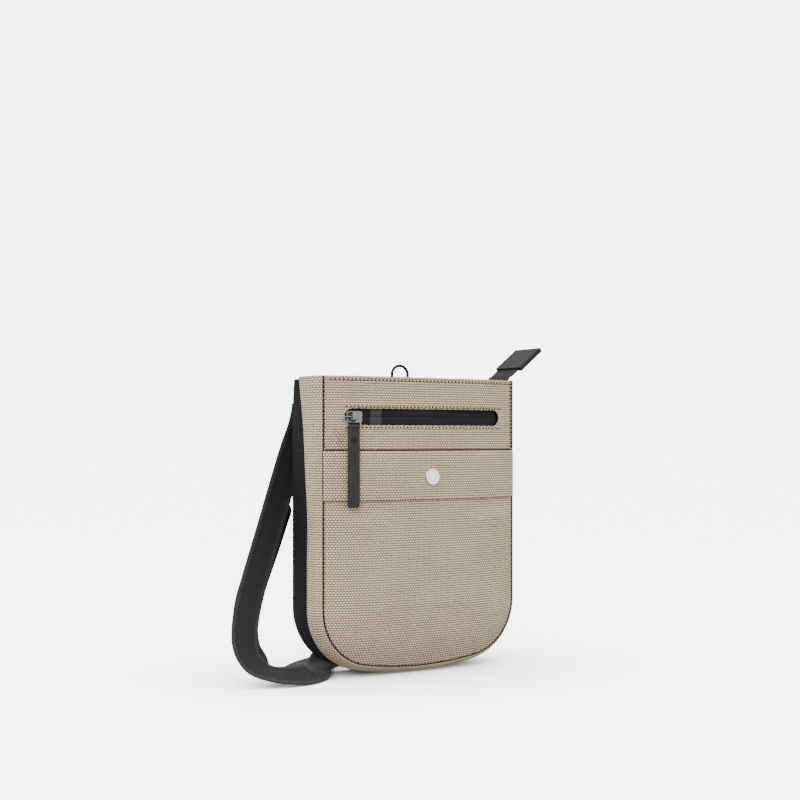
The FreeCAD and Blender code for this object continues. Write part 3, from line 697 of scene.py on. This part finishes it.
def hem_half(side):
    """Half of the hem band, from the side seam to the middle, with its stitch rows."""
    seam_x = side * (HALF_W - 0.2)
    name = "pocket_hem_left" if side < 0 else "pocket_hem_right"
    sheet = face_sheet(name, hem_y, MOUTH_Z, HEM_Z, x_range=(min(seam_x, 0), max(seam_x, 0)))
    piece = thicken(sheet, HEM_T)
    rows = Sheet(name + "_stitches", CLOTH, THREAD, HOLE_SHADE, SEAM_SHADOW)
    inner, outer = side * 0.7, side * (HALF_W - 2.2)
    for z in (MOUTH_Z - 2.8, HEM_Z + 1.5, HEM_Z + 4.4):
        row_on(rows, hem_y, inner, outer, z, pitch=2.8)
    stitches = rows.make()
    start = at(side * HEM_HELD_X, 0, HEM_Z)
    end = at(side * HEM_FREE_X, 0, HEM_Z)
    for part in (piece, stitches):
        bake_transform(part)
    if side < 0:
        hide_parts("pocket_hem")


def snap_cap():
    """The round cap: a rolled rim with a shallow dish inside it; the rim's outer wall is painted darker as
    shade.
    """
    profile = [(5.0, 0.3), (5.3, -0.2), (5.6, -0.7), (5.7, -1.2), (5.6, -1.55), (5.35, -1.8), (4.9, -1.88),
               (4.2, -1.84), (3.0, -1.83), (1.8, -1.82), (0.6, -1.82), (0.02, -1.82)]
    face_y = hem_y(0, SNAP_Z)
    sheet = Sheet("snap_cap_pressed", NICKEL, GUNMETAL)
    turns = 48
    rows = []
    for radius, y in profile:
        angles = [2 * math.pi * k / turns for k in range(turns)]
        rows.append([(radius * math.cos(a), face_y + y, SNAP_Z + radius * math.sin(a)) for a in angles])
    # Painted shade: the cap is one metal, but its outer wall takes the darker gunmetal.
    shaded_wall = 4
    turns_uv = [[(k, r) for k in range(turns + 1)] for r in range(len(profile))]
    sheet.grid(rows[:shaded_wall + 1], turns_uv[:shaded_wall + 1], 1, closed=True)
    sheet.grid(rows[shaded_wall:], turns_uv[shaded_wall:], 0, closed=True)
    return use(sheet.make(), "pocket_mouth", "snap_metal", "snap_cap")


def mouth_shadow():
    """A dark tube of painted shadow in the gap over the slip pocket's mouth."""
    sheet = Sheet("pocket_mouth_painted_shadow", SEAM_SHADOW, THREAD, HOLE_SHADE, SEAM_SHADOW)
    edge = HALF_W - 1.5
    xs = [-edge + 2 * edge * i / 80 for i in range(81)]
    z = MOUTH_Z + 0.5
    sheet.tube([(x, front_y(x, z) - 0.3, z) for x in xs], 0.75, 0, sides=6)
    return use(sheet.make(), "pouch", "woven_cloth")


# Bands round the U, as (distance outward from the seam, depth behind it).
BAND_BACK_Y = 38.3
GUSSET_PROFILE = ((-0.4, 0.6), (0.0, -0.35), (0.5, -0.9), (1.2, -0.75), (1.8, 0.0), (2.5, 1.0), (3.3, 2.4),
                  (4.0, 4.0), (4.55, 5.8), (4.85, 7.6), (4.98, 9.6), (4.9, 11.6), (4.6, 13.2),
                  (3.9, GUSSET_Y + 0.6))
RIM_PROFILE = ((4.0, GUSSET_Y - 0.3), (4.6, GUSSET_Y + 0.3), (4.9, GUSSET_Y + 2.2), (5.0, GUSSET_Y + 5.5),
               (5.0, 24.5), (5.0, 28.5), (4.9, 31.5), (4.5, 34.0), (3.6, 36.2), (2.3, 37.6), (0.6, 38.2),
               (-2.0, BAND_BACK_Y))


def boundary_shift(z):
    """How much further back the pale cloth reaches near the top."""
    return 12.0 * (max(0.0, z - 100.0) / 100.0) ** 2


def top_taper(z):
    """How far the back edge comes forward toward the zipped top."""
    return 5.0 * (max(0.0, z - 165.0) / 35.0) ** 1.5


def side_sag(z, y):
    """The gusset's sides wave a little between the seam and the rim."""
    share = math.sin(math.pi * min(1.0, max(0.0, y / RIM_Y)))
    return share * (0.35 * math.sin(z / 21 + 0.6) + 0.2 * math.sin(z / 9.5)) * min(1.0, z / 40)


def warp(y, z):
    """Shift a depth on the band: the cloth's boundary moves back near the top, the back edge forward."""
    if y <= GUSSET_Y + 1:
        return y + boundary_shift(z) * max(0.0, y / GUSSET_Y)
    share = (y - GUSSET_Y) / (BAND_BACK_Y - GUSSET_Y)
    return y + boundary_shift(z) * (1 - share) - top_taper(z) * share


def swept(name, profile, material, body, slot, node, top=TOP_Z):
    """A band of cloth with this outward, depth profile round the U."""
    sheet = Sheet(name, material, THREAD, HOLE_SHADE, SEAM_SHADOW)
    line = outline(0, top)
    rows, uvs = [], []
    depth = [0.0]
    for (a, b), (c, d) in zip(profile, profile[1:]):
        depth.append(depth[-1] + math.hypot(c - a, d - b))
    for x, z, nx, nz, length in line:
        row = []
        for outward, y in profile:
            reach = min(outward + side_sag(z, y) * abs(nx), BULGE)
            row.append((x + nx * reach, warp(y, z), z + nz * reach))
        rows.append(row)
        uvs.append([(d, length) for d in depth])
    sheet.grid(rows, uvs)
    return use(thicken(sheet, BAND_T), body, slot, node)


def seam_stitching():
    """The seam round the front: a dark tube of painted shade in its furrow, with slanting stitches over it.
    """
    sheet = Sheet("seam_stitching", CLOTH, THREAD, HOLE_SHADE, SEAM_SHADOW)
    line = outline(0.9)
    points = [(x, front_y(x, z) - 0.25, z) for x, z, _, _, _ in line]
    normals = [Vector((nx * 0.4, -1, nz * 0.4)).normalized() for _, _, nx, nz, _ in line]
    # A dark tube of painted shade along the seam's furrow.
    furrow_shade_line = outline(0.25)
    sheet.tube([(x, -0.95, z) for x, z, _, _, _ in furrow_shade_line], 0.5, SEAM_SHADOW_SLOT, sides=6)
    stitch_row(sheet, points, normals, pitch=2.6, length=1.7, radius=0.3)
    return use(sheet.make(), "pouch", "woven_cloth")


def back_panel():
    """The padded black back, with a quilted line along its edge."""
    def surface(x, z):
        inside = max(0.0, seam_distance(x, z) + 1.0)
        groove = 0.9 * math.exp(-((inside - 9.0) / 1.3) ** 2)
        return RIM_Y + 0.9 + rise(inside, BACK_CROWN - 0.9) - groove + soft(x * 1.3, z) * 0.6 - top_taper(z)

    sheet = Sheet("back_panel_padded", BLACK, DARK_THREAD_AND_SHADE, DARK_THREAD_AND_SHADE, BLACK)
    edge_insets = [0.2, 1.0, 2.0, 3.2, 4.8, 6.2, 7.2, 8.0, 8.8, 9.8, 11.0, 12.6]
    insets = edge_insets + [14.8 + 2.6 * i for i in range(23)]
    lines = [outline(inset - 1.0, TOP_Z - 0.4) for inset in insets + [CORE_INSET + 1.0]]
    pillow(sheet, lines, surface, flip=True)
    piece = thicken(sheet, BACK_T)
    return use(piece, "pouch", "black_cloth", "back_panel")


def eyelet_hole_shade():
    """A dark tube of painted shade inside the pull's eyelet."""
    low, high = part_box("front_zip_pull_eyelet")
    x, z = [500 * (low[i] + high[i]) + offset for i, offset in ((0, ORIGIN_X), (2, 0.0))]
    near, far = 1000 * low[1] + ORIGIN_Y + 0.5, 1000 * high[1] + ORIGIN_Y - 0.5
    sheet = Sheet("eyelet_hole_shade", DARK_THREAD_AND_SHADE)
    sheet.tube([(x, near, z), (x, far, z)], 0.88, sides=16)
    return use(sheet.make(), "front_pull", "black_metal")


front_panel()
front_stitching()
window_lip()
pocket_panel()
hem_half(-1)
hem_half(1)
snap_cap()
eyelet_hole_shade()
zip_tape_half(1)
zip_tape_half(-1)
mouth_shadow()
swept("side_gusset_cloth", GUSSET_PROFILE, CLOTH, "pouch", "woven_cloth", "side_gusset")
swept("back_rim_cloth", RIM_PROFILE, BLACK, "pouch", "black_cloth", "back_rim", top=TOP_Z - 1.5)
seam_stitching()
back_panel()


# ---------------------------------------------------------------- carried-over nodes
def finish_nodes(material, *names):
    for name in names:
        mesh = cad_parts[name].data
        mesh.materials.clear()
        mesh.materials.append(material)


finish_nodes(LINING, "main_lining", "zip_pocket_bag")
finish_nodes(TAPE, "top_zip_tape_front", "top_zip_tape_back", "top_zip_ramp", "top_zip_tail")
finish_nodes(COIL, "front_zip_coil_upper", "front_zip_coil_lower", "top_zip_coil_front", "top_zip_coil_back")
finish_nodes(ENAMEL, "top_ring", "top_zip_slider", "top_zip_pull", "front_zip_stop_right",
             "front_zip_pull_eyelet")
finish_nodes(GUNMETAL, "front_zip_slider", "front_zip_ring")
finish_nodes(NICKEL, "snap_socket", "snap_stud", "snap_rivet")
finish_nodes(RUBBER, "front_zip_pull")
finish_nodes(LEATHER, "top_zip_end_tab")
finish_nodes(SEWN_WEBBING, "top_ring_tab", "strap_anchor_left", "strap_anchor_right", "strap_short",
             "strap_doubler")
finish_nodes(PLASTIC, "strap_ring", "strap_adjuster")


# ---------------------------------------------------------------- strap
STRAP_ROUTE = [
    (-68, 40.8, 182), (-68.6, 41.2, 172), (-76, 43.5, 151), (-86, 43, 120), (-98, 38, 90),
    (-111.5, 31, 60), (-121.5, 21.5, 36), (-124, 12, 18), (-112, 4.5, 8.0), (-94, 1, 6.0),
    (-82, 5, 5.4), (-71, 15, 3.6), (-62, 34, 3.2), (-46, 50, 7.5), (-22, 58, 10.5),
    (4, 58, 10.8), (32, 57, 10.8), (57, 62, 10.8), (74, 79, 10.8), (71, 101, 10.8),
    (50, 111, 10.8), (28, 98, 8.5), (0, 77, 5.0), (-30, 72, 3.0), (-57, 60, 2.6),
    (-75, 38, 2.6), (-88, 21, 3.2), (-104, 15, 6.0), (-119.5, 20, 21), (-117.5, 29.5, 44),
    (-104, 40, 68), (-90, 47, 92), (-81, 49.5, 114), (-68, 48, 128), (-55.1, 44, 135.2),
    (-41.3, 43, 141),
]
# The direction of the webbing's width at some points of the route, by their place in the list.
WIDTH_AT = {
    0: (1, 0.05, 0), 2: (1, 0, -0.1), 4: (0.98, 0, -0.15), 6: (0.97, 0, -0.2), 7: (0.85, 0.35, 0.2),
    8: (0.35, 0.85, 0.38), 9: (0.1, 0.88, 0.47), 10: (-0.1, 0.9, 0.42), 11: (-0.75, 0.62, 0.12),
    12: (-0.93, 0.3, 0.05), 13: (-0.4, 0.3, 0.85), 14: (-0.05, 0.1, 1), 19: (0, 0.1, 1),
    20: (-0.3, 0.3, 0.9), 21: (-0.5, 0.6, 0.6), 22: (-0.6, 0.75, 0.3), 23: (-0.3, 0.95, 0.08),
    24: (-0.6, 0.8, 0.04), 25: (0.1, 0.99, 0.06), 26: (0.15, 0.98, 0.1), 27: (0.35, 0.92, 0.15),
    28: (0.8, 0.35, 0.2), 29: (0.95, 0.05, -0.2), 30: (0.95, -0.05, -0.3), 32: (0.9, 0.1, -0.2),
    33: (0.6, 0.2, 0.75), 35: (-0.39, 0, 0.92),
}
FLOOR_GAP = 0.25   # the webbing's lowest edge stays this far above the floor


def route_points(route):
    """Points of the smooth line that a route's points control."""
    curve = bpy.data.curves.new("strap_route", "CURVE")
    curve.dimensions = "3D"
    spline = curve.splines.new("NURBS")
    spline.points.add(len(route) - 1)
    for target, point in zip(spline.points, route):
        target.co = (*at(*point), 1)
    spline.order_u = 3
    spline.use_endpoint_u = True
    spline.resolution_u = 10
    holder = bpy.data.objects.new("strap_route", curve)
    bpy.context.collection.objects.link(holder)
    mesh = bpy.data.meshes.new_from_object(holder)
    line = [v.co.copy() for v in mesh.vertices]
    bpy.data.objects.remove(holder)
    bpy.data.meshes.remove(mesh)
    return line


def width_direction(place):
    """The webbing's width direction at a place along the route, between the listed ones."""
    keys = sorted(WIDTH_AT)
    below = max(k for k in keys if k <= place)
    above = min((k for k in keys if k >= place), default=below)
    a, b = Vector(WIDTH_AT[below]).normalized(), Vector(WIDTH_AT[above]).normalized()
    if below == above:
        return a
    if a.dot(b) < 0:
        b = -b
    share = (place - below) / (above - below)
    return a.lerp(b, share * share * (3 - 2 * share)).normalized()


def strap():
    line = route_points(STRAP_ROUTE)
    count = len(line) - 1
    section = [(-9.5, 0.0), (-9.3, 0.42), (-8.6, 0.66), (-7.0, 0.66), (-6.4, 0.5), (-3, 0.52), (0, 0.56),
               (3, 0.52), (6.4, 0.5), (7.0, 0.66), (8.6, 0.66), (9.3, 0.42), (9.5, 0.0)]
    section += [(u, -w) for u, w in reversed(section[1:-1])]
    sheet = Sheet("strap_webbing_flat", WEBBING)
    rows, uvs = [], []
    travelled = 0.0
    previous = None
    for i, point in enumerate(line):
        forward = (line[min(i + 1, count)] - line[max(i - 1, 0)]).normalized()
        place = min((len(STRAP_ROUTE) - 1) * i / count, len(STRAP_ROUTE) - 1)
        wide = width_direction(place)
        wide = (wide - forward * wide.dot(forward)).normalized()
        if previous is not None and wide.dot(previous) < 0:
            wide = -wide
        previous = wide
        through = forward.cross(wide)
        if i:
            travelled += (point - line[i - 1]).length * 1000
        row = [point + wide * (u / 1000) + through * (w / 1000) for u, w in section]
        lift = max(0.0, FLOOR_GAP / 1000 - min(p.z for p in row))
        row = [p + Vector((0, 0, lift)) for p in row]
        rows.append(row)
        uvs.append([(u, travelled) for u, _ in section] + [(section[0][0], travelled)])
    in_pouch_mm = [[(p.x * 1000 + ORIGIN_X, p.y * 1000 + ORIGIN_Y, p.z * 1000) for p in row] for row in rows]
    sheet.grid(in_pouch_mm, uvs, closed=True)
    width = len(section)
    sheet.cap(0, width, True)
    sheet.cap(len(sheet.points) - width, width, False)
    piece = sheet.make()
    use(piece, "pouch", "webbing", "strap_webbing")
    tuple(at(*STRAP_ROUTE[0]))


strap()


# ---------------------------------------------------------------- floor and light
def floor():
    """A wide pale floor that curves up behind; it glows a little less where something stands close, which
    paints soft contact shadows on it.
    """
    size = 40.0
    profile = [(-40.0, 0.0), (2.0, 0.0)] + [
        (2.0 + 1.5 * math.sin(a), 1.5 - 1.5 * math.cos(a))
        for a in [math.radians(5 * k) for k in range(1, 19)]]
    profile.append((3.5, 5.0))
    mesh = bpy.data.meshes.new("floor")
    points, faces = [], []
    for y, z in profile:
        points += [(-size, y, z), (size, y, z)]
    for i in range(len(profile) - 1):
        faces.append((2 * i, 2 * i + 1, 2 * i + 3, 2 * i + 2))
    mesh.from_pydata(points, [], faces)
    mesh.polygons.foreach_set("use_smooth", [True] * len(faces))
    ground = bpy.data.objects.new("floor", mesh)
    bpy.context.collection.objects.link(ground)
    ground.rotation_euler = (0, 0, math.radians(-32))
    material = Material("floor")
    material.colour((0.93, 0.93, 0.93))
    material.rough(1.0)
    material.set(Specular_IOR_Level=0.0, Emission_Color=(1, 1, 1, 1))
    # Painted contact shadow: ambient occlusion dims the floor's glow near the pouch and strap.
    shade = material.tree.nodes.new("ShaderNodeAmbientOcclusion")
    shade.inputs["Distance"].default_value = 0.11
    glow = Expr(material.tree, shade.outputs["AO"]).power(1.6) * 4.7
    material.tree.links.new(glow.socket, material.shader.inputs["Emission Strength"])
    mesh.materials.append(material.material)
    ground.visible_diffuse = False
    ground.visible_glossy = False


def area_light(name, place, target, size, watts, colour=(1, 1, 1)):
    light = bpy.data.lights.new(name, "AREA")
    light.energy = watts
    light.size = size
    light.color = colour
    lamp = bpy.data.objects.new(name, light)
    bpy.context.collection.objects.link(lamp)
    lamp.location = place
    lamp.rotation_euler = (Vector(target) - Vector(place)).to_track_quat("-Z", "Y").to_euler()


floor()
area_light("key", (-1.1, -1.2, 1.3), (0, 0, 0.1), 0.9, 15.0)
area_light("side", (-1.5, 0.2, 0.5), (0, 0, 0.1), 0.7, 4.2)
area_light("card", (0.8, -1.3, 0.16), (0, 0, 0.13), 0.9, 5.0)
world = bpy.data.worlds.new("world")
world.use_nodes = True
background = world.node_tree.nodes["Background"]
background.inputs[0].default_value = (1, 1, 1, 1)
direction = world.node_tree.nodes.new("ShaderNodeTexCoord")
split = world.node_tree.nodes.new("ShaderNodeSeparateXYZ")
world.node_tree.links.new(direction.outputs["Generated"], split.inputs[0])
upward = Expr(world.node_tree, split.outputs[2]).ramp(-0.25, 0.35)
world.node_tree.links.new((upward * 1.15 + 0.3).socket, background.inputs[1])
bpy.context.scene.world = world
